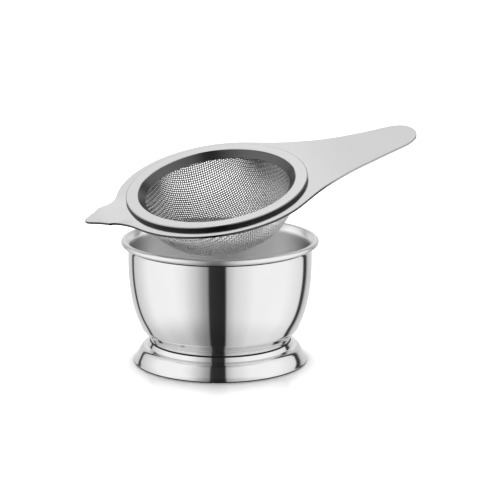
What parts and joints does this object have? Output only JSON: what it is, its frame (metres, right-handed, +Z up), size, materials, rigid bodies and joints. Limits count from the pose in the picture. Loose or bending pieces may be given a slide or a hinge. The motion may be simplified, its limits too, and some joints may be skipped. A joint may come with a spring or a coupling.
{
  "type": "tea strainer",
  "caption": "Stainless tea strainer with a woven mesh basket, flat handle and rest tab, over a footed drip bowl.",
  "frame": {"origin": "centre of the ring that the drip bowl's foot stands on", "axes": "+Z up along the bowl's axis, +X towards the strainer's handle"},
  "size_m": [0.1162, 0.0689, 0.0771],
  "materials": {
    "polished_steel": "mirror-polished stainless steel",
    "satin_steel": "fine satin stainless steel",
    "steel_mesh": "woven stainless wire cloth"
  },
  "bodies": {
    "drip_bowl": {"bowl_shell": "polished_steel", "foot_ring": "polished_steel"},
    "strainer": {"handle_plate": "satin_steel", "rim_ring": "satin_steel", "mesh_basket": "steel_mesh", "clamp_ring": "satin_steel"}
  },
  "joints": [
    {"name": "strainer_lift", "type": "hinge", "parent": "drip_bowl", "child": "strainer", "pos_m": [-0.04143, -0.04065, 0.04461], "axis": [0.7003, -0.7139, 0], "range_deg": [-16.74, 35]}
  ]
}
